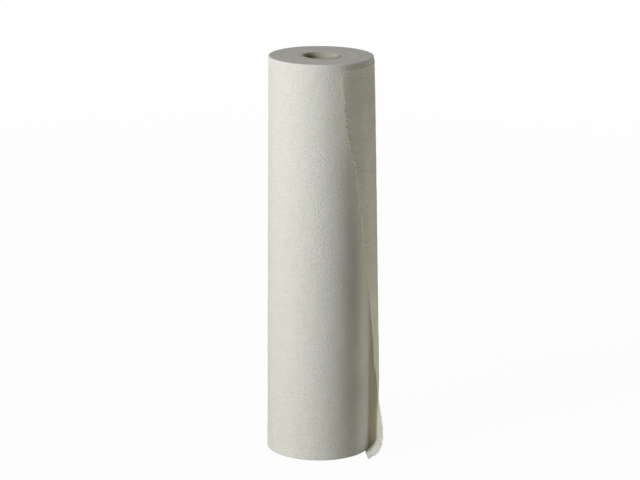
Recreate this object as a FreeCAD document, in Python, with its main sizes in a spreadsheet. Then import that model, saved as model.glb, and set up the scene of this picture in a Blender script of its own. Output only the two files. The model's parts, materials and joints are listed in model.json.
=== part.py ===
"""Exam table paper roll: a wound paper web with a loose torn tail, on a board core.

Millimetres. The roll stands on one end. The origin is the centre of that end, +Z runs up
the axis, and the front is towards -Y. The web is wound so that its loose outer turn leaves
the roll at the back and comes round the right side to its torn end near the front.
"""
import FreeCAD, Part
import math
import os

import Sketcher

V = FreeCAD.Vector

# Driving dimensions: alias, value, meaning. Each is set by itself. A bearing is in degrees
# from +X towards +Y, about the loose turn's own centre, so the front right is from 0 to -90.
DIMENSIONS = [
    ("web_width", 500.0, "width of the paper web, which is the length of the roll and core"),
    ("roll_diameter", 129.0, "outside of the wound turns"),
    ("core_bore", 45.0, "inside of the board core"),
    ("core_wall", 1.5, "wall of the board core"),
    ("web_thickness", 0.4, "loose two-ply sheet, over its embossing"),
    ("liftoff_bearing", 110.0, "where the loose turn leaves the roll"),
    ("foot_slack", 7.8, "how much wider than the roll the loose turn curves, at the foot"),
    ("middle_slack", 4.8, "the same, halfway up"),
    ("head_slack", 0.4, "the same, at the head"),
    ("foot_reach", 49.0, "how far to the front the torn end comes, at the foot"),
    ("middle_reach", 48.0, "the same, halfway up"),
    ("head_reach", 58.0, "the same, at the head"),
    ("liftoff_drop", 0.5, "how far the loose turn has slid down at the lift-off"),
    ("torn_end_drop", 8.0, "how far it has slid down on the far side, by the torn end"),
    ("least_gap", 0.5, "gap under the loose turn where its inner face comes free"),
    ("root_depth", 1.5, "how deep the loose turn's root reaches into the wound turns"),
    ("root_sweep", 20.0, "degrees of the root past the lift-off, under the loose turn"),
    ("fairing_sweep", 15.0, "degrees over which the sheet rises out of the roll's face"),
]

PAST_TORN_END = -75  # bearing to which the loose turn is drawn, before its end is trimmed
DRAWN_INNER, DRAWN_OUTER = 20.0, 60.0  # radii a ring is drawn at, until its expressions set them

doc = FreeCAD.newDocument("ExamTablePaperRoll")


def make_sheet():
    """Writes the driving dimensions into a spreadsheet, one row each."""
    sheet = doc.addObject("Spreadsheet::Sheet", "Dimensions")
    for row, (alias, value, meaning) in enumerate(DIMENSIONS, start=1):
        sheet.set(f"A{row}", alias)
        sheet.set(f"B{row}", str(value))
        sheet.set(f"C{row}", meaning)
        sheet.setAlias(f"B{row}", alias)
    doc.recompute()
    return sheet


SHEET = make_sheet()


def cell(alias):
    """The expression that reads one driving dimension."""
    return f"Dimensions.{alias}"


def size(alias):
    """The number in one driving dimension's cell."""
    return float(getattr(SHEET, alias))


def new_body(name):
    """A sub-part's own body, at the shared origin."""
    body = doc.addObject("PartDesign::Body", name)
    body.Label = name
    body.Placement = FreeCAD.Placement(V(0, 0, 0), FreeCAD.Rotation())
    return body


def sketch_on_plane(body, name, role):
    """A sketch on one of the body's own origin planes."""
    plane = next(f for f in body.Origin.OriginFeatures if f.Role == role)
    sketch = body.newObject("Sketcher::SketchObject", name)
    sketch.AttachmentSupport = [(plane, "")]
    sketch.MapMode = "FlatFace"
    return sketch


def bind(sketch, name, constraint, expression):
    """Adds a driving constraint and ties it to an expression."""
    index = sketch.addConstraint(constraint)
    sketch.renameConstraint(index, name)
    sketch.setExpression(f"Constraints.{name}", expression)


def round_wall(body, name, inner_radius, outer_radius, length):
    """A round wall from the floor up. Each size is an expression."""
    sketch = sketch_on_plane(body, name + "Section", "XY_Plane")
    for label, drawn, expression in (
        ("inner", DRAWN_INNER, inner_radius), ("outer", DRAWN_OUTER, outer_radius),
    ):
        circle = sketch.addGeometry(Part.Circle(V(0, 0, 0), V(0, 0, 1), drawn), False)
        sketch.addConstraint(Sketcher.Constraint("Coincident", circle, 3, -1, 1))
        bind(sketch, label, Sketcher.Constraint("Radius", circle, drawn), expression)
    pad = body.newObject("PartDesign::Pad", name)
    pad.Profile = sketch
    pad.setExpression("Length", length)


def loose_turn_section(body, name, slack, height, first_drop="0", last_drop="0"):
    """The loose turn's thin section at one height, past where its torn end will be.

    Its faces are arcs about one centre, set back from the roll's axis by the slack, so the
    sheet lies on the roll at the lift-off and stands off more the further it comes round.
    Its root is sunk into the wound turns, and a straight fairing leads up to its outside.
    The section's plane falls from the first drop, at the lift-off, to the last drop.
    """
    sketch = sketch_on_plane(body, name, "XY_Plane")
    lift = cell("liftoff_bearing") + " * 1 deg"
    sketch.setExpression(
        "AttachmentOffset",
        "create(<<placement>>; "
        f"create(<<vector>>; 0; 0; {height} - ({first_drop} + {last_drop}) / 2); "
        f"create(<<rotation>>; create(<<vector>>; sin({lift}); -cos({lift}); 0); "
        f"asin(({last_drop} - {first_drop}) / {cell('roll_diameter')})))",
    )

    bearings = {
        "torn": (PAST_TORN_END, f"{PAST_TORN_END} * 1 deg"),
        "free": (
            size("liftoff_bearing") - size("root_sweep"),
            f"{lift} - {cell('root_sweep')} * 1 deg",
        ),
        "lift": (size("liftoff_bearing"), lift),
        "fair": (
            size("liftoff_bearing") + size("fairing_sweep"),
            f"{lift} + {cell('fairing_sweep')} * 1 deg",
        ),
    }
    ways = {}
    for label, (degrees, _) in bearings.items():
        ways[label] = V(math.cos(math.radians(degrees)), math.sin(math.radians(degrees)), 0)
    centre = ways["lift"] * -size(slack)
    inside = size("roll_diameter") / 2 + size("least_gap") + size(slack)
    inside_expression = f"{cell('roll_diameter')} / 2 + {cell('least_gap')} + {cell(slack)}"
    faces = {
        "outer": ("torn", "lift", inside + size("web_thickness"),
                  f"{inside_expression} + {cell('web_thickness')}"),
        "inner": ("torn", "free", inside, inside_expression),
        "root": ("free", "fair", inside - size("root_depth"),
                 f"{inside_expression} - {cell('root_depth')}"),
    }

    arcs = {}
    for label, (first, last, radius, expression) in faces.items():
        circle = Part.Circle(centre, V(0, 0, 1), radius)
        first_angle, last_angle = (math.radians(bearings[end][0]) for end in (first, last))
        arcs[label] = sketch.addGeometry(Part.ArcOfCircle(circle, first_angle, last_angle), False)
        bind(sketch, label, Sketcher.Constraint("Radius", arcs[label], radius), expression)
    outer, inner, root = arcs["outer"], arcs["inner"], arcs["root"]
    sketch.addConstraint(Sketcher.Constraint("Coincident", inner, 3, outer, 3))
    sketch.addConstraint(Sketcher.Constraint("Coincident", root, 3, outer, 3))
    bind(sketch, "centre_x", Sketcher.Constraint("DistanceX", -1, 1, outer, 3, centre.x),
         f"-{cell(slack)} * cos({lift})")
    bind(sketch, "centre_y", Sketcher.Constraint("DistanceY", -1, 1, outer, 3, centre.y),
         f"-{cell(slack)} * sin({lift})")

    # Construction spokes hold the arcs' ends (1 first, 2 last) at their bearings.
    spokes = {}
    for label, (arc, end) in {
        "torn": ("outer", 1), "free": ("inner", 2), "lift": ("outer", 2), "fair": ("root", 2),
    }.items():
        degrees, expression = bearings[label]
        tip = centre + ways[label] * faces[arc][2]
        spoke = sketch.addGeometry(Part.LineSegment(centre, tip), True)
        spokes[label] = spoke
        sketch.addConstraint(Sketcher.Constraint("Coincident", spoke, 1, outer, 3))
        sketch.addConstraint(Sketcher.Constraint("Coincident", spoke, 2, arcs[arc], end))
        angle = Sketcher.Constraint("Angle", spoke, math.radians(degrees))
        bind(sketch, f"{label}_bearing", angle, expression)
    sketch.addConstraint(Sketcher.Constraint("PointOnObject", inner, 1, spokes["torn"]))
    sketch.addConstraint(Sketcher.Constraint("PointOnObject", root, 1, spokes["free"]))

    # Straight walls close the outline: each runs between two arcs' ends.
    for (low, low_end), (high, high_end) in (
        (("inner", 1), ("outer", 1)), (("root", 1), ("inner", 2)), (("root", 2), ("outer", 2)),
    ):
        low_point = centre + ways[faces[low][low_end - 1]] * faces[low][2]
        high_point = centre + ways[faces[high][high_end - 1]] * faces[high][2]
        wall = sketch.addGeometry(Part.LineSegment(low_point, high_point), False)
        sketch.addConstraint(Sketcher.Constraint("Coincident", wall, 1, arcs[low], low_end))
        sketch.addConstraint(Sketcher.Constraint("Coincident", wall, 2, arcs[high], high_end))
    return sketch


def make_core():
    """The thin board tube that the web is wound on, sawn to length with it."""
    body = new_body("core_tube")
    bore_radius = f"{cell('core_bore')} / 2"
    wall_radius = f"{bore_radius} + {cell('core_wall')}"
    round_wall(body, "BoardWall", bore_radius, wall_radius, cell("web_width"))
    return body


def trim_torn_end(body):
    """Cuts the loose turn off in front of its torn end, which runs up in two straight tears."""
    sketch = sketch_on_plane(body, "TornEndSection", "YZ_Plane")
    width = cell("web_width")
    far = cell("roll_diameter")
    corners = (
        ("foot", size("foot_reach"), 0.0, cell("foot_reach"), "0"),
        ("middle", size("middle_reach"), size("web_width") / 2, cell("middle_reach"),
         f"{width} / 2"),
        ("head", size("head_reach"), size("web_width"), cell("head_reach"), width),
        ("far_head", size("roll_diameter"), size("web_width"), far, width),
        ("far_foot", size("roll_diameter"), 0.0, far, "0"),
    )
    points = [V(-reach, height, 0) for _, reach, height, _, _ in corners]
    lines = [
        sketch.addGeometry(Part.LineSegment(start, end), False)
        for start, end in zip(points, points[1:] + points[:1])
    ]
    for line, following, corner in zip(lines, lines[1:] + lines[:1], corners[1:] + corners[:1]):
        label, reach, height, reach_expression, height_expression = corner
        sketch.addConstraint(Sketcher.Constraint("Coincident", line, 2, following, 1))
        bind(sketch, f"{label}_y", Sketcher.Constraint("DistanceX", -1, 1, line, 2, -reach),
             f"-{reach_expression}")
        bind(sketch, f"{label}_z", Sketcher.Constraint("DistanceY", -1, 1, line, 2, height),
             height_expression)
    pocket = body.newObject("PartDesign::Pocket", "TornEnd")
    pocket.Profile = sketch
    pocket.Type = "ThroughAll"
    pocket.Midplane = True


def make_web():
    """The wound turns, seated on the core, and the loose outer turn that peels off them."""
    body = new_body("paper_web")
    foot = loose_turn_section(body, "TurnFoot", "foot_slack", "0")
    middle = loose_turn_section(body, "TurnMiddle", "middle_slack", f"{cell('web_width')} / 2")
    head = loose_turn_section(
        body, "TurnHead", "head_slack", cell("web_width"),
        cell("liftoff_drop"), cell("torn_end_drop"),
    )
    turn = body.newObject("PartDesign::AdditiveLoft", "LooseTurn")
    turn.Profile = foot
    turn.Sections = [middle, head]
    trim_torn_end(body)

    core_radius = f"{cell('core_bore')} / 2 + {cell('core_wall')}"
    roll_radius = f"{cell('roll_diameter')} / 2"
    round_wall(body, "WoundTurns", core_radius, roll_radius, cell("web_width"))
    return body


def check(bodies):
    """Stops if any object failed, or if a sub-part isn't one valid solid."""
    for item in doc.Objects:
        if {"Invalid", "Error"} & set(item.State):
            raise RuntimeError(f"{item.Name} failed: {item.State}")
    for body in bodies:
        shape = body.Shape
        if shape.isNull() or not shape.isValid() or len(shape.Solids) != 1:
            raise RuntimeError(f"{body.Label} isn't one valid solid")


def export(bodies):
    """Writes each sub-part to parts/, named by its label, and prints its volume."""
    os.makedirs("parts", exist_ok=True)
    for body in bodies:
        body.Shape.exportStep(f"parts/{body.Label}.step")
        print(f"{body.Label}: {body.Shape.Volume / 1000:.1f} cm3")


sub_parts = [make_core(), make_web()]
doc.recompute()
check(sub_parts)
export(sub_parts)
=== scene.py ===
"""Exam table paper roll: the looks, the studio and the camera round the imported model.

The wound turns, the loose outer turn with its torn end, and the board core are each made
here as meshes of their own, in metres, in the model's frame: +Z up the roll's axis, the
front towards -Y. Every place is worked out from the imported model's own sizes.
"""
import enum
import functools
import json
import logging
import math
import random
from dataclasses import dataclass
from typing import Callable, Sequence

import bmesh
import bpy
import numpy as np
from mathutils import Matrix, Vector


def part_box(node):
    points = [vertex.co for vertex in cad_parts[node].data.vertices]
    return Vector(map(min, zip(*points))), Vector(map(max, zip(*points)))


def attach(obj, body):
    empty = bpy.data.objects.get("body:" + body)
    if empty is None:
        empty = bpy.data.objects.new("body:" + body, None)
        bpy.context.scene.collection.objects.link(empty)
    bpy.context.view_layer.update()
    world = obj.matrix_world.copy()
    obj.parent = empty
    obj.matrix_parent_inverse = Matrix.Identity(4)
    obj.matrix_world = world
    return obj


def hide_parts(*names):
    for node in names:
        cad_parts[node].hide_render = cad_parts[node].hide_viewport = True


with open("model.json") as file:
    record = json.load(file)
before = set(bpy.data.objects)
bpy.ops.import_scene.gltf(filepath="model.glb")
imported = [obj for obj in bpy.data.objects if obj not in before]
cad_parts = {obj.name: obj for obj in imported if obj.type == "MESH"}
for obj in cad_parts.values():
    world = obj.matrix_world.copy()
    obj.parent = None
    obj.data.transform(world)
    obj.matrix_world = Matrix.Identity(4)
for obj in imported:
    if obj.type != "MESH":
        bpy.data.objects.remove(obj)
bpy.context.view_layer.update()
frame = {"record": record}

log = logging.getLogger("paper_roll")

MM = 0.001
NEAR = 0.01 * MM  # two places nearer than this are taken as the same
CREASE = 50.0  # degrees: a sharper edge than this stays sharp in the shading
WEB_MAP = "web"
WHITE = (1.0, 1.0, 1.0)
Three = tuple[float, float, float]
Colour = Three
Span = tuple[float, float]
Profile = list[tuple[float, float]]  # radius, and height over the end's face, of ring after ring


# -------------------- sizes


@dataclass(frozen=True)
class RollSizes:
    """The sizes that every piece shares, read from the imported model.

    Attributes:
        radius: outside radius of the wound turns.
        height: height of the roll, which is the web's width.
        core_radius: outside radius of the board core.
        bore_radius: radius of the hole through the core.
    """

    radius: float
    height: float
    core_radius: float
    bore_radius: float

    @classmethod
    def from_frame(cls) -> "RollSizes":
        """Reads the sizes from the nodes' boxes and the bore's mount.

        Returns:
            The roll's sizes, in metres.
        """
        web_low, web_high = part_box("paper_web")
        _, core_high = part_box("core_tube")
        bore = next(m for m in frame["record"]["mounts"] if m["name"] == "core_bore")
        return cls(-web_low[0], web_high[2], core_high[0], bore["dims"]["r_mm"] * MM)


def smooth(low: float, high: float, value: np.ndarray | float) -> np.ndarray | float:
    """Eases from 0 at low to 1 at high, which may be the lesser of the two."""
    share = np.clip((value - low) / (high - low), 0.0, 1.0)
    return share * share * (3.0 - 2.0 * share)


# -------------------- shader maths


class Reading:
    """One number that a shader works out, with Python's operators on it."""

    def __init__(self, graph: "Graph", socket: bpy.types.NodeSocket) -> None:
        """Wraps the socket that the number comes from."""
        self.graph = graph
        self.socket = socket

    def maths(self, operation: str, *others: "Reading | float") -> "Reading":
        """Adds a Math node that takes this, and then the others."""
        inputs = dict(enumerate((self, *others)))
        return self.graph.node("ShaderNodeMath", {"operation": operation}, inputs)

    __add__ = functools.partialmethod(maths, "ADD")
    __radd__ = __add__
    __sub__ = functools.partialmethod(maths, "SUBTRACT")
    __mul__ = functools.partialmethod(maths, "MULTIPLY")
    __truediv__ = functools.partialmethod(maths, "DIVIDE")

    def clipped(self) -> "Reading":
        """This, held between nought and one."""
        return self.maths("MAXIMUM", 0.0).maths("MINIMUM", 1.0)


class Graph:
    """The nodes of one material or world."""

    def __init__(self, owner: bpy.types.Material | bpy.types.World) -> None:
        """Empties the owner's node tree and keeps it."""
        owner.use_nodes = True
        self.tree = owner.node_tree
        self.tree.nodes.clear()

    def node(self, kind: str, settings: dict, inputs: dict, output: int | str = 0) -> Reading:
        """Adds any node: its settings first, and then its sockets.

        Args:
            kind: the node's type.
            settings: its properties.
            inputs: values, opaque colours or readings, by the socket's name or number.
            output: the socket to read, by name or number.

        Returns:
            The reading of that output.
        """
        made = self.tree.nodes.new(kind)
        for name, setting in settings.items():
            setattr(made, name, setting)
        for name, value in inputs.items():
            socket = made.inputs[name]
            if isinstance(value, Reading):
                self.tree.links.new(value.socket, socket)
            else:
                socket.default_value = (*value, 1.0) if socket.type == "RGBA" else value
        return Reading(self, made.outputs[output] if made.outputs else None)

    def place(self) -> Reading:
        """The point's place on the object, in metres."""
        return self.node("ShaderNodeTexCoord", {}, {}, "Object")

    def stretched(self, point: Reading, scale: Sequence[float]) -> Reading:
        """A point with each of its parts scaled."""
        return self.node("ShaderNodeMapping", {}, {"Vector": point, "Scale": tuple(scale)})

    def noise(self, point: Reading, per_metre: float, detail: float = 2.0) -> Reading:
        """Soft noise from 0 to 1, with about that many lumps to the metre."""
        inputs = {"Vector": point, "Scale": per_metre, "Detail": detail}
        return self.node("ShaderNodeTexNoise", {}, inputs)

    def length(self, point: Reading, scale: Sequence[float] = WHITE) -> Reading:
        """How far a point lies from the origin, once its parts are scaled."""
        parts = {0: self.stretched(point, scale)}
        return self.node("ShaderNodeVectorMath", {"operation": "LENGTH"}, parts, "Value")

    def mix(self, share: Reading | float, first: Colour | Reading, second: Colour | Reading) -> Reading:
        """Mixes two colours, with that share of the second."""
        inputs = {0: share, 6: first, 7: second}
        return self.node("ShaderNodeMix", {"data_type": "RGBA"}, inputs, 2)

    def bump(self, height: Reading, distance: float) -> Reading:
        """A normal tilted by a height, whose full range stands for that distance."""
        inputs = {"Height": height, "Distance": distance, "Strength": 1.0}
        return self.node("ShaderNodeBump", {}, inputs)

    def surface(self, shader: Reading) -> None:
        """Links a shader to the output."""
        output = "World" if isinstance(self.tree.id_data, bpy.types.World) else "Material"
        self.node(f"ShaderNodeOutput{output}", {}, {"Surface": shader})


# -------------------- finishes


@dataclass(frozen=True)
class Finish:
    """A matt surface. Each finish adds its own colours and relief.

    Attributes:
        name: the material's name.
        roughness: how matt it is.
        gloss: its specular level.
        through: share of the light that goes through it.
        glow: colour of that light, which the pulp makes warmer.
    """

    name: str
    roughness: float = 0.92
    gloss: float = 0.2
    through: float = 0.0
    glow: Colour = (0.950, 0.900, 0.760)

    def material(self) -> bpy.types.Material:
        """Makes the material.

        Returns:
            The new material.
        """
        made = bpy.data.materials.new(self.name)
        graph = Graph(made)
        colour, normal = self.layers(graph)
        inputs = {
            "Base Color": colour,
            "Normal": normal,
            "Roughness": self.roughness,
            "Specular IOR Level": self.gloss,
        }
        shader = graph.node("ShaderNodeBsdfPrincipled", {}, inputs)
        if self.through:
            inputs = {"Color": self.glow, "Normal": normal}
            light = graph.node("ShaderNodeBsdfTranslucent", {}, inputs)
            shader = graph.node("ShaderNodeMixShader", {}, {0: self.through, 1: shader, 2: light})
        graph.surface(shader)
        return made

    def layers(self, graph: Graph) -> tuple[Reading, Reading]:
        """The colour and the normal. Each finish has its own."""
        raise NotImplementedError


@dataclass(frozen=True)
class CrepePaper(Finish):
    """White crepe paper: soft blotches, fibres, and crepe lines up the roll.

    Attributes:
        white: the paper's colour.
        thin: its colour where the pulp is thinner.
        blotches: blotches to the metre.
        fibres: fibre lumps to the metre.
        crepe: crepe lines to the metre, round the roll.
        relief: height of the fibres and the crepe.
        dimple: depth of a dimple's shading, on top of its mesh.
        patches: patches of weak and strong dimples to the metre.
        own: how much of a dimple's strength is its own.
        shared: how much of it is its patch's.
        lost: how much of it every dimple lacks.
        strays: lumps to the metre of the noise that leads the dimples astray.
        stray: how far a dimple may stray from its place in the net, in columns.
        cloudy: contrast of the blotches.
        speckled: contrast of the fibres.
    """

    name: str = "crepe_paper"
    white: Colour = (0.835, 0.832, 0.785)
    thin: Colour = (0.780, 0.776, 0.722)
    blotches: float = 60.0
    fibres: float = 1500.0
    crepe: float = 900.0
    relief: float = 0.06 * MM
    dimple: float = 0.52 * MM
    patches: float = 60.0
    own: float = 0.9
    shared: float = 1.2
    lost: float = 0.4
    strays: float = 230.0
    stray: float = 1.6
    cloudy: float = 1.6
    speckled: float = 0.7

    def dimples(self, graph: Graph, point: Reading) -> Reading:
        """The dimples: 1 at a bottom, 0 between them, and weaker in some patches.

        Args:
            graph: the material's nodes.
            point: the point's place on the object.

        Returns:
            Their share of the full depth.
        """
        place = graph.node("ShaderNodeUVMap", {"uv_map": WEB_MAP}, {})
        column, row = (graph.node("ShaderNodeSeparateXYZ", {}, {0: place}, part) for part in "XY")
        column = column + (graph.noise(point, self.strays, 1.0) - 0.5) * self.stray
        mirrored = graph.stretched(point, (1.0, -1.0, 1.0))
        row = row + (graph.noise(mirrored, self.strays, 1.0) - 0.5) * self.stray
        across = (column * math.pi).maths("COSINE")
        along = (row * (math.pi / 2)).maths("COSINE")
        pit = (along * (across + along) * 0.5).clipped()
        cell = {"X": ((row * 0.5 + column) * 0.5).maths("ROUND")}
        cell["Y"] = ((row * 0.5 - column) * 0.5).maths("ROUND")
        inputs = {"Vector": graph.node("ShaderNodeCombineXYZ", {}, cell)}
        single = graph.node("ShaderNodeTexWhiteNoise", {"noise_dimensions": "2D"}, inputs, "Value")
        patch = graph.noise(point, self.patches)
        return pit * (single * self.own + patch * self.shared - self.lost).clipped()

    def layers(self, graph: Graph) -> tuple[Reading, Reading]:
        """The paper's colour and relief.

        Args:
            graph: the material's nodes.

        Returns:
            The colour and the normal.
        """
        point = graph.place()
        blotch = graph.noise(point, self.blotches, 3.0)
        fibre = graph.noise(point, self.fibres, 3.0)
        crepe = graph.noise(graph.stretched(point, (1.0, 1.0, 0.25)), self.crepe)
        dimple = self.dimples(graph, point)
        share = (blotch * self.cloudy - 0.3 + (fibre - 0.5) * self.speckled).clipped()
        colour = graph.mix(share, self.thin, self.white)
        height = fibre * 0.5 + crepe * 0.5 - dimple * (self.dimple / self.relief)
        return colour, graph.bump(height, self.relief)


@dataclass(frozen=True)
class LoosePly(CrepePaper):
    """The same paper in one ply, which lets light through on to the turns behind it. Its colours carry
    painted light: a lighter, cooler white that brightens the ply and cancels the warm light that comes
    back through it.
    """

    name: str = "loose_ply"
    through: float = 0.36
    glow: Colour = (0.950, 0.895, 0.730)
    dimple: float = 0.95 * MM
    # painted light: white and thin are lighter and cooler than the wound paper's, to brighten the ply
    # and cancel the warm light that comes back through it
    white: Colour = (0.880, 0.905, 0.925)
    thin: Colour = (0.820, 0.843, 0.858)


@dataclass(frozen=True)
class TornPulp(Finish):
    """Torn paper: bare fibres, a little warmer than the sheet, and lighter, partly their own paler
    colour and partly a painted highlight along the torn edge.

    Attributes:
        pulp: the fibres' colour, lightened partly as a painted highlight.
        shade: their colour in the hollows.
        fibres: fibre lumps to the metre.
        contrast: how sharply the two colours part.
        relief: height of the fibres.
    """

    name: str = "torn_pulp"
    through: float = 0.3
    fibres: float = 1200.0
    contrast: float = 2.4
    relief: float = 0.1 * MM
    # lighter than the sheet: partly the bare fibres' own colour, partly a painted highlight along the
    # torn edge
    pulp: Colour = (0.950, 0.935, 0.870)
    shade: Colour = (0.860, 0.835, 0.745)

    def layers(self, graph: Graph) -> tuple[Reading, Reading]:
        """The fibres' colour and relief.

        Args:
            graph: the material's nodes.

        Returns:
            The colour and the normal.
        """
        fibre = graph.noise(graph.place(), self.fibres)
        colour = graph.mix((fibre * self.contrast - 0.7).clipped(), self.shade, self.pulp)
        return colour, graph.bump(fibre, self.relief)


@dataclass(frozen=True)
class TurnEdges(Finish):
    """The web's edges, wound up: fine rings of paper with shade between them.

    Attributes:
        paper: the colour of an edge that stands up.
        shade: the colour between the turns.
        turns: turns of paper to the metre of radius.
        bands: broad bands to the metre of radius.
        drifts: lumps to the metre of the noise that leads the rings astray.
        drift: how far a ring may stray.
        fibres: fibre lumps to the metre.
        weights: weights of the turns, the bands and the fibres in the colour.
        shaded: how much of the sum of those is shade.
        relief: height of an edge over the gap beside it.
    """

    name: str = "turn_edges"
    paper: Colour = (0.850, 0.846, 0.790)
    shade: Colour = (0.600, 0.595, 0.545)
    turns: float = 1500.0
    bands: float = 210.0
    drifts: float = 45.0
    drift: float = 1.2 * MM
    fibres: float = 1400.0
    weights: Three = (0.9, 1.3, 0.3)
    shaded: float = 0.72
    relief: float = 0.12 * MM

    def layers(self, graph: Graph) -> tuple[Reading, Reading]:
        """The rings' colour and relief.

        Args:
            graph: the material's nodes.

        Returns:
            The colour and the normal.
        """
        point = graph.place()
        radius = graph.length(point, (1.0, 1.0, 0.0))
        drift = (graph.noise(point, self.drifts) - 0.5) * self.drift
        across = graph.node("ShaderNodeCombineXYZ", {}, {"X": radius + drift})
        turn = graph.noise(across, self.turns, 1.0)
        band = graph.noise(across, self.bands)
        fibre = graph.noise(point, self.fibres)
        of_turn, of_band, of_fibre = self.weights
        share = turn * of_turn + band * of_band + fibre * of_fibre - self.shaded
        colour = graph.mix(share.clipped(), self.shade, self.paper)
        return colour, graph.bump(turn * 0.7 + fibre * 0.3, self.relief)


@dataclass(frozen=True)
class CoreBoard(Finish):
    """Unbleached grey-beige board with specks of pulp.

    Attributes:
        board: the board's colour.
        fleck: its darker flecks.
        pale: its paler fibres.
        grains: grains to the metre.
        specks: pale specks to the metre.
        clouds: clouds of more and fewer flecks to the metre.
        pale_from: speck reading over which it is a pale fibre.
        relief: height of the fibres.
    """

    name: str = "pulp_board"
    roughness: float = 0.85
    board: Colour = (0.530, 0.510, 0.415)
    fleck: Colour = (0.390, 0.370, 0.290)
    pale: Colour = (0.650, 0.630, 0.530)
    grains: float = 700.0
    specks: float = 2100.0
    clouds: float = 90.0
    pale_from: float = 0.58
    relief: float = 0.08 * MM

    def layers(self, graph: Graph) -> tuple[Reading, Reading]:
        """The board's colour and relief.

        Args:
            graph: the material's nodes.

        Returns:
            The colour and the normal.
        """
        point = graph.place()
        grain = graph.noise(graph.stretched(point, (1.0, 1.0, 0.4)), self.grains, 3.0)
        speck = graph.noise(point, self.specks)
        cloud = graph.noise(point, self.clouds)
        colour = graph.mix((grain * 1.5 + cloud * 0.5 - 0.55).clipped(), self.fleck, self.board)
        colour = graph.mix(((speck - self.pale_from) * 4.0).clipped(), colour, self.pale)
        return colour, graph.bump(grain * 0.6 + speck * 0.4, self.relief)


# -------------------- modelling by hand


class Bench:
    """One object on the bench, shaped in edit mode as by hand."""

    def __init__(self, name: str, corners: int, radius: float, fill: str = "NOTHING") -> None:
        """Adds a circle round the origin.

        Args:
            name: the piece's name.
            corners: how many corners it has.
            radius: its radius.
            fill: how it is filled, which it isn't where it starts a solid.
        """
        self.clear()
        settings = {"vertices": corners, "radius": radius, "fill_type": fill}
        bpy.ops.mesh.primitive_circle_add(location=(0, 0, 0), **settings)
        self.piece = bpy.context.active_object
        self.piece.name = name
        self.piece.data.name = name

    @staticmethod
    def clear() -> None:
        """Deselects everything, in object mode."""
        if bpy.context.object and bpy.context.object.mode != "OBJECT":
            bpy.ops.object.mode_set(mode="OBJECT")
        bpy.ops.object.select_all(action="DESELECT")

    def select(self, kind: str, wanted: Callable[..., bool]) -> None:
        """Selects vertices or edges by their place, and nothing else.

        Args:
            kind: "VERT" or "EDGE".
            wanted: tells of one element whether to select it.
        """
        bpy.ops.mesh.select_mode(type=kind)
        bpy.ops.mesh.select_all(action="DESELECT")
        shape = bmesh.from_edit_mesh(self.piece.data)
        for element in shape.verts if kind == "VERT" else shape.edges:
            if wanted(element):
                element.select_set(True)
        shape.select_flush_mode()
        bmesh.update_edit_mesh(self.piece.data)

    def extrude_to(self, rise: float, scale: float = 1.0) -> None:
        """Extrudes the selected ring by a rise, and scales it about the axis."""
        bpy.ops.mesh.extrude_region_move(TRANSFORM_OT_translate={"value": (0, 0, rise)})
        if scale != 1.0:
            bpy.ops.transform.resize(value=(scale, scale, 1.0), center_override=(0, 0, 0))

    def cut_upright(self, cuts: Sequence[int]) -> None:
        """Cuts every upright edge, once for each number given."""
        for number in cuts:
            self.select("EDGE", lambda e: abs(e.verts[0].co.z - e.verts[1].co.z) > NEAR)
            bpy.ops.mesh.subdivide(number_cuts=number)

    @classmethod
    def tube(
        cls, name: str, corners: int, cuts: Sequence[int], height: float, ends: Sequence[Profile]
    ) -> bpy.types.Object:
        """Models a closed tube from one of its walls, which is the one with the cuts.

        Args:
            name: the piece's name.
            corners: corners round it.
            cuts: cuts that divide the first wall into rows, one number for each pass.
            height: its height.
            ends: each end's profile from the first wall to the second, the top's before the foot's.

        Returns:
            The tube.
        """
        radius, sunk = ends[0][0]
        bench = cls(name, corners, radius)
        bpy.ops.object.mode_set(mode="EDIT")
        bpy.ops.transform.translate(value=(0, 0, -sunk))
        bench.extrude_to(height + 2 * sunk)
        bench.cut_upright(cuts)
        for way, profile in zip((1, -1), ends):
            edge = height + sunk if way > 0 else -sunk
            bench.select("VERT", lambda v: abs(v.co.z - edge) < NEAR)
            for (radius, level), (next_radius, next_level) in zip(profile, profile[1:]):
                bench.extrude_to((next_level - level) * way, next_radius / radius)
        bench.select("EDGE", lambda e: all(abs(v.co.xy.length - next_radius) < NEAR for v in e.verts))
        bpy.ops.mesh.bridge_edge_loops()
        bpy.ops.mesh.select_all(action="SELECT")
        bpy.ops.mesh.remove_doubles(threshold=NEAR / 10)
        bpy.ops.mesh.normals_make_consistent(inside=False)
        bpy.ops.object.mode_set(mode="OBJECT")
        return bench.piece


def make_active(piece: bpy.types.Object) -> None:
    """Selects one piece alone."""
    Bench.clear()
    piece.select_set(True)
    bpy.context.view_layer.objects.active = piece


def new_object(name: str, data: bpy.types.ID) -> bpy.types.Object:
    """Makes an object of its data, in the scene."""
    made = bpy.data.objects.new(name, data)
    bpy.context.collection.objects.link(made)
    return made


def mesh_piece(name: str, corners: Sequence, faces: Sequence) -> bpy.types.Object:
    """Makes a piece from its corners and its faces, which are the numbers of their corners."""
    mesh = bpy.data.meshes.new(name)
    mesh.from_pydata(corners, [], faces)
    return new_object(name, mesh)


def use_modifier(piece: bpy.types.Object, kind: str, **settings: object) -> None:
    """Adds a modifier, sets it and applies it.

    Args:
        piece: the object.
        kind: the modifier's type.
        settings: its properties.
    """
    make_active(piece)
    modifier = piece.modifiers.new(kind.title(), kind)
    for name, setting in settings.items():
        setattr(modifier, name, setting)
    bpy.ops.object.modifier_apply(modifier=modifier.name)


def weigh(piece: bpy.types.Object, group: str, weights: np.ndarray) -> None:
    """Writes a vertex group, with one weight for each vertex.

    Args:
        piece: the object.
        group: the group's name.
        weights: a weight for each vertex, 0 for none.
    """
    made = piece.vertex_groups.new(name=group)
    for index in np.flatnonzero(weights > 0):
        made.add([int(index)], float(weights[index]), "REPLACE")


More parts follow.
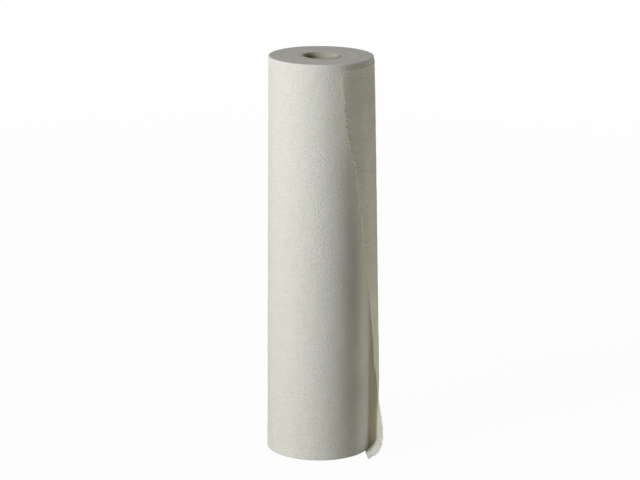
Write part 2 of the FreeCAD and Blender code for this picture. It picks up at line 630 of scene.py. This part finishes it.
def lay_web(piece: bpy.types.Object, column: np.ndarray, row: np.ndarray, turn: int) -> None:
    """Writes the UV map that counts the net's columns and rows.

    Args:
        piece: the object, whose faces are all triangles.
        column: each vertex's column, which may be a fraction.
        row: each vertex's row.
        turn: columns in a whole turn, added where a face crosses from the last to the first.
    """
    mesh = piece.data
    corners = np.empty(len(mesh.loops), dtype=np.int32)
    mesh.loops.foreach_get("vertex_index", corners)
    across = column[corners].reshape(-1, 3)
    across = across + turn * (across.max(axis=1, keepdims=True) - across > turn / 2)
    places = np.stack([across.ravel(), row[corners]], axis=-1)
    mesh.uv_layers.new(name=WEB_MAP).uv.foreach_set("vector", places.astype(np.float32).ravel())


def smooth_by_angle(piece: bpy.types.Object) -> None:
    """Shades a piece smooth, apart from its sharp edges."""
    make_active(piece)
    bpy.ops.object.shade_smooth_by_angle(angle=math.radians(CREASE))


@dataclass(frozen=True)
class Embossing:
    """The web's dimples, in a honeycomb lattice, and its soft waves.

    The surface is a net of small triangles. Every second corner of every second row is the
    bottom of a dimple, and each of those rows starts one corner further on than the last.

    Attributes:
        columns: corners of the net round the roll. It is an even number.
        cuts: cuts that divide the web's width into rows, one number for each pass.
        depth: depth of a dimple.
        weakest: share of that depth that the weakest dimple has.
        wave: height of the soft waves.
        wave_length: their length.
        seed: seed of the dimples' unevenness.
    """

    columns: int = 256
    cuts: tuple[int, int] = (39, 7)
    depth: float = 0.4 * MM
    weakest: float = 0.4
    wave: float = 0.45 * MM
    wave_length: float = 18 * MM
    seed: int = 11

    @property
    def rows(self) -> int:
        """Rows of the net up the web's width."""
        return math.prod(number + 1 for number in self.cuts)

    def weights(self, column: np.ndarray, row: np.ndarray) -> np.ndarray:
        """How deep each corner of the net is pressed.

        Args:
            column: each corner's column, counted round the roll.
            row: each corner's row, counted up the web.

        Returns:
            A share of the full depth for each corner, 0 between the dimples.
        """
        dice = np.random.default_rng(self.seed)
        strength = dice.uniform(self.weakest, 1.0, len(column))
        pressed = (row % 2 == 0) & ((column + row // 2) % 2 == 0) & (row > 0) & (row < self.rows)
        return np.where(pressed, strength, 0.0)

    def press(self, piece: bpy.types.Object, weights: np.ndarray, free: np.ndarray) -> None:
        """Presses the dimples into the surface, and then bends it in soft waves.

        Args:
            piece: the object.
            weights: a weight for each corner, from weights().
            free: how free each corner is to bend, from 0 to 1.
        """
        weigh(piece, "free", free)
        weigh(piece, "dimples", weights)
        settings = {"strength": -self.depth, "mid_level": 0.0, "vertex_group": "dimples"}
        use_modifier(piece, "DISPLACE", **settings)
        texture = bpy.data.textures.get("soft_waves") or bpy.data.textures.new("soft_waves", "CLOUDS")
        texture.noise_scale = self.wave_length
        settings = {"texture": texture, "texture_coords": "LOCAL", "vertex_group": "free"}
        use_modifier(piece, "DISPLACE", strength=self.wave, **settings)


# -------------------- the pieces


class Slot(enum.Enum):
    """The record's material slots."""

    PAPER = "embossed_paper"
    BOARD = "core_board"


def fit(piece: bpy.types.Object, node: str, slot: Slot, *finishes: Finish) -> None:
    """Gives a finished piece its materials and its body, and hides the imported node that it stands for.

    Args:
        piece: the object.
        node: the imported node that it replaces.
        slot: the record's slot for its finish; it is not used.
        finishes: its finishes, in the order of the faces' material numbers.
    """
    for finish in finishes:
        piece.data.materials.append(bpy.data.materials.get(finish.name) or finish.material())
    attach(piece, "root")
    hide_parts(node)
    log.info("%s: %d faces, for %s", piece.name, len(piece.data.polygons), node)


@dataclass
class WoundTurns:
    """The tightly wound turns: one solid with embossed sides and ringed ends.

    Attributes:
        sizes: the roll's sizes.
        embossing: the web's pattern.
        rim: how far the end's outer edge is rounded.
        rounding: share of the rim that is cut back at its middle.
        ring: width of one ring of turns on an end.
        ring_widths: least and greatest share of that width.
        unevenness: how far a ring may lie in.
        sunk: how far in the last rings before the core lie.
        looks_up: how much a face looks up or down if it is of an end.
        seed: seed of the rings' unevenness.
    """

    sizes: RollSizes
    embossing: Embossing
    rim: float = 0.9 * MM
    rounding: float = 0.29
    ring: float = 1.35 * MM
    ring_widths: Span = (0.7, 1.3)
    unevenness: float = 0.16 * MM
    sunk: Three = (0.1 * MM, 0.5 * MM, 0.7 * MM)
    looks_up: float = 0.7
    seed: int = 5

    def build(self) -> None:
        """Models the solid."""
        net, ends = self.embossing, [self._end(1), self._end(-1)]
        piece = Bench.tube("wound_turns", net.columns, net.cuts, self.sizes.height, ends)
        self._emboss(piece)
        for face in piece.data.polygons:
            face.material_index = int(abs(face.normal.z) > self.looks_up)
        smooth_by_angle(piece)
        fit(piece, "paper_web", Slot.PAPER, CrepePaper(), TurnEdges())

    def _end(self, way: int) -> Profile:
        """The rings of turns on one end, from the side wall in to the core.

        Args:
            way: 1 for the top and -1 for the foot.

        Returns:
            The end's profile.
        """
        dice = random.Random(self.seed + way)
        wall, core, cut_back = self.sizes.radius, self.sizes.core_radius, self.rim * self.rounding
        profile = [(wall, -self.rim), (wall - cut_back, -cut_back), (wall - self.rim, 0.0)]
        while profile[-1][0] - self.ring > core + (len(self.sunk) - 0.5) * self.ring:
            radius = profile[-1][0] - self.ring * dice.uniform(*self.ring_widths)
            profile.append((radius, -self.unevenness * dice.uniform(0.0, 1.0)))
        last = (core + 2 * self.ring, core + self.ring, core)
        return profile + [(radius, -sunk) for radius, sunk in zip(last, self.sunk)]

    def _emboss(self, piece: bpy.types.Object) -> None:
        """Makes the side wall's net of triangles, and presses the embossing into it.

        Args:
            piece: the solid.
        """
        mesh, columns = piece.data, self.embossing.columns
        places = np.array([v.co for v in mesh.vertices])
        radius = np.hypot(places[:, 0], places[:, 1])
        turn = np.arctan2(-places[:, 0], -places[:, 1]) / math.tau
        column = np.rint(turn * columns).astype(int)
        side = self.sizes.height - 2 * self.rim
        level = (places[:, 2] - self.rim) / side * self.embossing.rows
        row = np.rint(level).astype(int)
        on_wall = np.abs(radius - self.sizes.radius) < 5 * NEAR
        shifted = (turn + np.where(on_wall & (row % 2 == 1), 0.5 / columns, 0.0)) * math.tau
        places[:, 0], places[:, 1] = -radius * np.sin(shifted), -radius * np.cos(shifted)
        mesh.vertices.foreach_set("co", places.ravel())
        use_modifier(piece, "TRIANGULATE", quad_method="SHORTEST_DIAGONAL")
        lay_web(piece, shifted / math.tau * columns, level, columns)
        self.embossing.press(piece, self.embossing.weights(column, row) * on_wall, on_wall.astype(float))


@dataclass
class LooseTurn:
    """The outer turn, slid down and standing off the roll, with its end torn off.

    Angles are degrees back from the lift-off, clockwise seen from above. The sheet stands off
    as a wider circle does, flares near its torn end towards the foot, and its hem, which the
    slide has pushed against the floor, curls in under it.

    Attributes:
        sizes: the roll's sizes.
        embossing: the web's pattern.
        liftoff: bearing of the lift-off, in degrees from +X.
        root: degrees of the sheet hidden under the roll's face, past the lift-off.
        thickness: thickness of the sheet.
        seat: how far off the roll's face the sheet's middle runs where it only lies on it.
        slack: how much wider than the roll the sheet curves, at the foot, middle and head.
        torn_at: degrees to the torn end, at the foot.
        torn_step: how many degrees further it reaches over a step in the tear.
        step_over: heights between which the step lies.
        torn_lead: how many degrees further still it reaches, at the head.
        lead_from: height from which it does.
        torn_corner: how many degrees more it reaches near its top corner.
        corner_over: heights between which that begins.
        flare: how much further the torn end flares, low down, than higher up.
        flare_over: heights between which that begins, going down.
        flare_up: how far it flares higher up.
        flare_from: degrees to where the flare starts.
        flare_power: how late most of the flare comes.
        bulge: how much further it bulges, just over the hem.
        bulge_over: heights between which that begins, going down.
        bulge_power: how late most of the bulge comes.
        pinch: how much closer the sheet curves to the roll there, before the bulge.
        drop: how far the torn end has slid down.
        curl: angle that the hem's curl turns through, in radians.
        over_hem: height just over the curl.
        hem_play: how much further than the roll's face the hem may tuck in under its rounding.
        corner: radius of the torn end's top corner.
        bends: bends of the tear's line.
        wander: how far they wander from it.
        calm: share of that at the foot.
        calm_over: heights between which the tear gets wilder.
        ragged: how far single teeth of it stand out.
        frayed: share of its thickness that the sheet has at the tear.
        waves_from: height from which the sheet has its full waves.
        seed: seed of the tear.
        columns: columns of the sheet's net, from the root to the tear.
        samples: points along the sheet between which its length is measured.
    """

    sizes: RollSizes
    embossing: Embossing
    liftoff: float = 110.0
    root: float = 12.0
    thickness: float = 0.36 * MM
    seat: float = 0.42 * MM
    slack: Three = (7.8 * MM, 4.8 * MM, 0.1 * MM)
    torn_at: float = 144.0
    torn_step: float = 5.0
    step_over: Span = (118 * MM, 132 * MM)
    torn_lead: float = 26.0
    lead_from: float = 200 * MM
    torn_corner: float = 4.0
    corner_over: Span = (390 * MM, 430 * MM)
    flare: float = 8.1 * MM
    flare_over: Span = (280 * MM, 90 * MM)
    flare_up: float = 1.4 * MM
    flare_from: float = 100.0
    flare_power: float = 2.5
    bulge: float = 15.6 * MM
    bulge_over: Span = (100 * MM, 30 * MM)
    bulge_power: int = 12
    pinch: float = 4.0 * MM
    drop: float = 8.7 * MM
    curl: float = 1.24
    over_hem: float = 26 * MM
    hem_play: float = 0.4 * MM
    corner: float = 5.0 * MM
    bends: int = 26
    wander: float = 1.9 * MM
    calm: float = 0.4
    calm_over: Span = (60 * MM, 120 * MM)
    ragged: float = 0.95 * MM
    frayed: float = 0.3
    waves_from: float = 10 * MM
    seed: int = 23
    columns: int = 132
    samples: int = 240

    def gap(self, angle: np.ndarray, height: np.ndarray) -> np.ndarray:
        """How far the sheet's middle stands off the roll's face.

        Args:
            angle: degrees from the lift-off.
            height: height over the floor.

        Returns:
            The gap at each point, in metres.
        """
        foot, middle, head = self.slack
        share = np.clip(height / self.sizes.height, 0.0, 1.0)
        bend = 2.0 * (foot + head) - 4.0 * middle
        slack = foot + share * (head - foot - bend) + share * share * bend
        past = np.clip(angle, 0.0, 180.0)
        seat = self.seat * (2.0 * smooth(-self.root, self.root, angle) - 1.0)
        flare = self.flare_up + self.flare * smooth(*self.flare_over, height)
        outwards = np.clip(past - self.flare_from, 0.0, None) / (self.torn_at - self.flare_from)
        flare = flare * outwards**self.flare_power
        low = smooth(*self.bulge_over, height)
        bulge = self.bulge * low * (past / self.torn_at) ** self.bulge_power
        return seat + (slack - self.pinch * low) * (1.0 - np.cos(np.radians(past))) + flare + bulge

    def torn_angle(self, height: np.ndarray) -> np.ndarray:
        """Degrees from the lift-off to the torn end, at each height."""
        step = self.torn_step * smooth(*self.step_over, height)
        lead = self.torn_lead * smooth(self.lead_from, self.sizes.height, height)
        return self.torn_at + step + lead + self.torn_corner * smooth(*self.corner_over, height)

    def tear(self, across: np.ndarray) -> np.ndarray:
        """How far short of the torn line each row of the sheet ends.

        Args:
            across: each row's distance from the web's lower edge.

        Returns:
            The distance along the sheet, which is less than nought where a tooth stands out.
        """
        dice = np.random.default_rng(self.seed)
        bends = np.linspace(0.0, self.sizes.height, self.bends)
        wander = np.interp(across, bends, dice.uniform(-1.0, 1.0, self.bends)) * self.wander
        wander = wander * (self.calm + (1.0 - self.calm) * smooth(*self.calm_over, across))
        teeth = dice.uniform(-1.0, 1.0, len(across)) * self.ragged
        into_corner = np.clip(across - (self.sizes.height - self.corner), 0.0, self.corner)
        rounding = self.corner - np.sqrt(self.corner**2 - into_corner**2)
        return wander + teeth + rounding

    def plan(self, angle: np.ndarray, height: np.ndarray) -> list[np.ndarray]:
        """X and Y of the sheet's middle, at angles from the lift-off and heights over the floor."""
        bearing, radius = np.radians(self.liftoff - angle), self.sizes.radius + self.gap(angle, height)
        return [radius * np.cos(bearing), radius * np.sin(bearing)]

    def net(self, rows: int) -> np.ndarray:
        """Each corner's column: every second row starts half a column on, but not at its ends."""
        numbers = np.arange(self.columns + 1) + 0.5 * (np.arange(rows) % 2)[:, None]
        numbers[:, 0], numbers[:, -1] = 0, self.columns
        return numbers

    def spread(self, height: np.ndarray) -> tuple[np.ndarray, np.ndarray]:
        """Even steps along the sheet, from its hidden root to its torn end.

        Args:
            height: one height for each row.

        Returns:
            Angle and length from the lift-off, with a row for each height.
        """
        fine = np.linspace(0.0, 1.0, self.samples)
        torn_at = self.torn_angle(height) - np.degrees(self.tear(height) / self.sizes.radius)
        angles = -self.root + fine * (torn_at[:, None] + self.root)
        x, y = self.plan(angles, height[:, None])
        steps = np.hypot(np.diff(x, axis=1), np.diff(y, axis=1))
        runs = np.concatenate([np.zeros((len(height), 1)), np.cumsum(steps, axis=1)], axis=1)
        along = self.net(len(height)) / self.columns * runs[:, -1:]
        spread = np.array([np.interp(*row) for row in zip(along, runs, angles)])
        start = np.array([np.interp(0.0, angle, run) for run, angle in zip(runs, angles)])
        return spread, along - start[:, None]

    @staticmethod
    def inward(x: np.ndarray, y: np.ndarray) -> tuple[np.ndarray, np.ndarray]:
        """The level way across the sheet, towards the roll's side of it, at each point."""
        along_x, along_y = np.gradient(x, axis=1), np.gradient(y, axis=1)
        run = np.hypot(along_x, along_y)
        return along_y / run, -along_x / run

    def hem_gap(self, angle: np.ndarray) -> np.ndarray:
        """How far the sheet can tuck in before its hem meets the roll's rounded foot.

        Args:
            angle: degrees from the lift-off.

        Returns:
            The distance at each point, square to the sheet.
        """
        over_hem = np.full_like(angle, self.over_hem)
        x, y = self.plan(angle, over_hem)
        way_x, way_y = self.inward(x, y)
        facing = -(x * way_x + y * way_y) / np.hypot(x, y)
        return np.clip(self.gap(angle, over_hem) + self.hem_play, 0.0, None) / facing

    @functools.cached_property
    def points(self) -> np.ndarray:
        """The sheet's middle surface, worked out once.

        Returns:
            Points by row and column, from the foot up and from the root to the torn end.
        """
        width = self.sizes.height
        rows = self.embossing.rows
        across = np.linspace(0.0, 1.0, rows + 1) * width
        angle, length = self.spread(across)
        fall = self.drop * np.clip(length, 0.0, None) / length[:, -1:].max()
        turned = 1.0 - math.cos(self.curl)
        tuck = np.minimum(fall * turned / (self.curl - math.sin(self.curl)), self.hem_gap(angle))
        bend = tuck / turned
        curl_length, curl_height = bend * self.curl, bend * math.sin(self.curl)
        across = across[:, None] + np.zeros_like(angle)
        curled = np.clip(curl_length - across, 0.0, None)
        sweep = np.divide(curled, bend, out=np.zeros_like(curled), where=bend > NEAR / 100)
        straight = (width - fall - curl_height) / (width - curl_length)
        height = np.where(
            curled > 0.0,
            curl_height - bend * np.sin(sweep),
            curl_height + (across - curl_length) * straight,
        )
        x, y = self.plan(angle, np.maximum(height, curl_height))
        way_x, way_y = self.inward(x, y)
        inward = bend * (1.0 - np.cos(sweep))
        x, y = x + inward * way_x, y + inward * way_y
        return np.stack([x, y, np.maximum(height, self.thickness / 2)], axis=-1)

    def build(self) -> None:
        """Models the sheet."""
        points = self.points
        rows, columns = points.shape[:2]
        faces = []
        for row in range(rows - 1):
            for column in range(columns - 1):
                a = row * columns + column
                b, c, d = a + 1, a + columns + 1, a + columns
                split = ((a, c, b), (a, d, c)) if row % 2 else ((b, a, d), (b, d, c))
                faces.extend(split)
        piece = mesh_piece("loose_turn", points.reshape(-1, 3).tolist(), faces)
        row_of, column_of = np.divmod(np.arange(rows * columns), columns)
        lay_web(piece, self.net(rows).ravel(), row_of, 2 * columns)
        free = smooth(0.0, self.waves_from, points[:, :, 2].ravel())
        self.embossing.press(piece, self.embossing.weights(column_of, row_of), free)
        weigh(piece, "whole", (column_of < columns - 1).astype(float))
        settings = {"vertex_group": "whole", "thickness_vertex_group": self.frayed}
        use_modifier(piece, "SOLIDIFY", thickness=self.thickness, offset=0.0, **settings)
        smooth_by_angle(piece)
        fit(piece, "paper_web", Slot.PAPER, LoosePly())


@dataclass
class TornFuzz:
    """The tufts that the tear left standing along the loose end, and its torn ties.

    Each tuft is a small pointed blade that leaves the torn end along the sheet and bends
    outwards.

    Attributes:
        turn: the loose turn that they stand on.
        tufts: how many small tufts there are.
        bare: rows of the sheet with no small tufts, at the foot and at the head.
        tuft: least and greatest length of a small tuft.
        ties_from: height of the lowest torn tie of the perforation.
        ties_to: how far below the head the ties end.
        tie_pitch: distance from one torn tie to the next.
        pitches: least and greatest share of that distance.
        tie: length of a torn tie.
        ties: least and greatest share of that length.
        bend: least and greatest angle that a tuft bends through, in degrees.
        tie_bend: the same for a torn tie.
        half_width: least and greatest share of its length that half its width is.
        lean: how far a tuft may lean up or down.
        thickness: thickness of a tuft at its root.
        rooted: how far its root lies in the sheet.
        stations: each ring's share of the bend, of the width, and of the length since the last.
        seed: seed of the tufts' places and shapes.
    """

    turn: LooseTurn
    tufts: int = 400
    bare: Span = (2.0, 6.0)
    tuft: Span = (0.6 * MM, 1.5 * MM)
    ties_from: float = 112 * MM
    ties_to: float = 2 * MM
    tie_pitch: float = 15.5 * MM
    pitches: Span = (0.75, 1.25)
    tie: float = 2.9 * MM
    ties: Span = (0.7, 1.2)
    bend: Span = (35.0, 110.0)
    tie_bend: Span = (15.0, 75.0)
    half_width: Span = (0.3, 0.5)
    lean: float = 0.4
    thickness: float = 0.22 * MM
    rooted: float = 0.4 * MM
    stations: tuple = ((0.0, 1.0, 0.0), (0.4, 0.9, 0.4), (0.75, 0.55, 0.4), (1.0, 0.0, 0.3))
    seed: int = 31

    def build(self) -> None:
        """Models every tuft in one mesh."""
        dice = random.Random(self.seed)
        rows, height = self.turn.points.shape[0], self.turn.sizes.height
        low, high = self.bare
        places = [(dice.uniform(low, rows - high), dice.uniform(*self.tuft)) for _ in range(self.tufts)]
        place = self.ties_from
        while place < height - self.ties_to:
            places.append((place * (rows / height), self.tie * dice.uniform(*self.ties)))
            place += self.tie_pitch * dice.uniform(*self.pitches)
        corners, faces = [], []
        for place, length in places:
            bend = self.tie_bend if length > self.tuft[1] else self.bend
            self._add_blade(int(place), length, math.radians(dice.uniform(*bend)), dice, corners, faces)
        piece = mesh_piece("torn_fuzz", corners, faces)
        for face in piece.data.polygons:
            face.use_smooth = True
        fit(piece, "paper_web", Slot.PAPER, TornPulp())

    def _add_blade(
        self, row: int, length: float, bend: float, dice: random.Random, corners: list, faces: list
    ) -> None:
        """Adds one tuft to the lists.

        Args:
            row: the sheet's row that it stands on.
            length: its length.
            bend: angle that it bends through.
            dice: the source of its width and lean.
            corners: the mesh's corners, which grow by 13.
            faces: the mesh's faces, which grow by 13.
        """
        points = self.turn.points
        root = Vector(points[row, -1])
        along = (root - Vector(points[row, -3])).normalized()
        up = (Vector(points[row + 1, -1]) - Vector(points[row - 1, -1])).normalized()
        outward = along.cross(up).normalized()
        outward = outward if outward.dot(Vector((root.x, root.y, 0.0))) > 0 else -outward
        half_width = length * dice.uniform(*self.half_width)
        lean = up * dice.uniform(-self.lean, self.lean)
        first = len(corners)
        place = root - along * self.rooted
        for share, width, further in self.stations:
            way = along * math.cos(bend * share) + outward * math.sin(bend * share) + lean
            flat = way.cross(up).normalized() * self.thickness / 2
            place = place + way * (length * further)
            sides = (up * half_width, flat, -up * half_width, -flat) if width else (Vector(),)
            corners.extend(place + side * width for side in sides)
        for ring in (first, first + 4):
            for side in range(4):
                after = (side + 1) % 4
                faces.append((ring + side, ring + after, ring + 4 + after, ring + 4 + side))
        last = first + 8
        faces.extend((last + side, last + (side + 1) % 4, last + 4) for side in range(4))
        faces.append((first + 3, first + 2, first + 1, first))


@dataclass
class CoreTube:
    """The board tube: a helical seam in its bore and a slightly fluffed sawn end.

    Attributes:
        sizes: the roll's sizes.
        corners: corners round the tube.
        cuts: cuts that divide the bore's wall, one number for each pass.
        seam_step: how far one side of the seam stands over the other.
        twist: turns that the seam makes from the foot to the head.
        chamfer: how far the edges are worn.
        rounding: how far under the end's face the middle of the bore's worn edge lies, as a share.
        looks_up: how much a face looks up or down if it is of an end.
    """

    sizes: RollSizes
    corners: int = 96
    cuts: tuple[int, int] = (19, 4)
    seam_step: float = 0.25 * MM
    twist: float = 2.6
    chamfer: float = 0.3 * MM
    rounding: float = 0.4
    looks_up: float = 0.5

    def build(self) -> None:
        """Models the tube."""
        bore, wall, edge = self.sizes.bore_radius, self.sizes.core_radius, self.chamfer
        end = [(bore, -edge), (bore + edge, -self.rounding * edge), (bore + 2 * edge, 0.0)]
        end += [(wall - edge, 0.0), (wall, -edge)]
        piece = Bench.tube("core_tube_board", self.corners, self.cuts, self.sizes.height, [end, end])
        self._wind(piece)
        for face in piece.data.polygons:
            face.use_smooth = abs(face.normal.z) < self.looks_up
        fit(piece, "core_tube", Slot.BOARD, CoreBoard())

    def _wind(self, piece: bpy.types.Object) -> None:
        """Laps the bore's wall at a seam, and twists the seam into a helix.

        Args:
            piece: the tube.
        """
        step = math.tau / self.corners
        for vertex in piece.data.vertices:
            x, y, z = vertex.co
            radius, bearing = math.hypot(x, y), math.atan2(y, x) % math.tau
            if radius < self.sizes.bore_radius + NEAR:
                lap = self.seam_step * (bearing / math.tau if bearing > step / 2 else 1.0)
                radius += lap - self.seam_step / 2
            bearing += math.tau * self.twist * z / self.sizes.height
            vertex.co = (radius * math.cos(bearing), radius * math.sin(bearing), z)


# -------------------- the studio


@dataclass(frozen=True)
class Lamp:
    """One large round lamp that faces the roll.

    Attributes:
        name: its name.
        bearing: degrees that it stands to the right of the front.
        height: degrees that it stands over the floor.
        width: width of its face.
        power: its power, in watts.
        colour: its light's colour.
        distance: how far away it is.
    """

    name: str
    bearing: float
    height: float
    width: float
    power: float
    colour: Colour = WHITE
    distance: float = 3.0

    def build(self, aim: Vector) -> None:
        """Hangs the lamp.

        Args:
            aim: the point that it faces.
        """
        bearing, height = math.radians(self.bearing), math.radians(self.height)
        level = math.cos(height)
        way = Vector((math.sin(bearing) * level, -math.cos(bearing) * level, math.sin(height)))
        light = bpy.data.lights.new(self.name, "AREA")
        light.shape = "DISK"
        light.size = self.width
        light.energy = self.power
        light.color = self.colour
        holder = new_object(self.name, light)
        holder.location = aim + way * self.distance
        holder.rotation_euler = way.to_track_quat("Z", "Y").to_euler()


@dataclass(frozen=True)
class Studio:
    """A pale round floor, plain soft light and the camera.

    Attributes:
        floor_radius: radius of the floor.
        floor_colour: the floor's colour.
        floor_white: how much of pure white the floor near the roll shows the camera.
        fade: distances from the roll between which it goes over into white.
        lamps: the soft lamps.
        aim: the point that they face.
        fill: the light from all round.
        lens: the camera's focal length, in millimetres.
        camera_place: where the camera stands.
        camera_dip: degrees that it looks down.
        camera_roll: degrees that it leans to the left.
    """

    floor_radius: float = 9.0
    floor_colour: Colour = (0.62, 0.62, 0.57)
    floor_white: float = 0.97
    fade: Span = (0.5, 3.0)
    lamps: tuple[Lamp, ...] = (
        Lamp("key", -50.0, 27.0, 1.1, 70.0),
        Lamp("rim", 115.0, 12.0, 1.4, 26.0, (1.0, 0.985, 0.85)),
    )
    aim: Three = (0.0, 0.0, 0.25)
    fill: Colour = (0.045, 0.045, 0.038)
    lens: float = 148.5
    camera_place: Three = (0.00025, -3.179, 1.083)
    camera_dip: float = 14.396
    camera_roll: float = 0.42

    def build(self) -> None:
        """Sets up the floor, the light, the camera and the colours' view."""
        bpy.context.scene.view_settings.view_transform = "Standard"
        self._floor()
        self._surroundings()
        for lamp in self.lamps:
            lamp.build(Vector(self.aim))
        self._camera()

    def _floor(self) -> None:
        """A round floor that goes over into white, far from the roll."""
        floor = Bench("studio_floor", 96, self.floor_radius, "NGON").piece
        made = bpy.data.materials.new("studio_floor")
        graph = Graph(made)
        near, far = self.fade
        away = ((graph.length(graph.place()) - near) / (far - near)).clipped()
        seen = graph.node("ShaderNodeLightPath", {}, {}, "Is Camera Ray")
        white = seen * (self.floor_white + away * (1.0 - self.floor_white))
        matt = graph.node("ShaderNodeBsdfDiffuse", {}, {"Color": self.floor_colour})
        light = graph.node("ShaderNodeEmission", {}, {"Color": WHITE})
        graph.surface(graph.node("ShaderNodeMixShader", {}, {0: white, 1: matt, 2: light}))
        floor.data.materials.append(made)

    def _surroundings(self) -> None:
        """An even grey light from all round, which the camera sees as white."""
        world = bpy.data.worlds.new("studio")
        graph = Graph(world)
        shown, *others = (
            graph.node("ShaderNodeLightPath", {}, {}, f"Is {ray} Ray")
            for ray in ("Camera", "Glossy", "Transmission")
        )
        for other in others:
            shown = shown.maths("MAXIMUM", other)
        inputs = {"Color": graph.mix(shown, self.fill, WHITE), "Strength": 1.0}
        graph.surface(graph.node("ShaderNodeBackground", {}, inputs))
        bpy.context.scene.world = world

    def _camera(self) -> None:
        """The camera, which looks straight ahead and down, and leans a little."""
        eye = bpy.data.cameras.new("camera")
        eye.sensor_width = 36.0
        eye.lens = self.lens
        eye.clip_end = 100.0
        holder = new_object("camera", eye)
        holder.location = self.camera_place
        dip = Matrix.Rotation(math.radians(90.0 - self.camera_dip), 3, "X")
        roll = Matrix.Rotation(math.radians(self.camera_roll), 3, "Z")
        holder.rotation_euler = (dip @ roll).to_euler()
        bpy.context.scene.camera = holder


# -------------------- all together


def main() -> None:
    """Builds the pieces and the studio."""
    logging.basicConfig(level=logging.INFO, format="%(name)s: %(message)s")
    sizes = RollSizes.from_frame()
    embossing = Embossing()
    WoundTurns(sizes, embossing).build()
    turn = LooseTurn(sizes, embossing)
    turn.build()
    TornFuzz(turn).build()
    CoreTube(sizes).build()
    Studio().build()


if __name__ == "__main__":
    main()
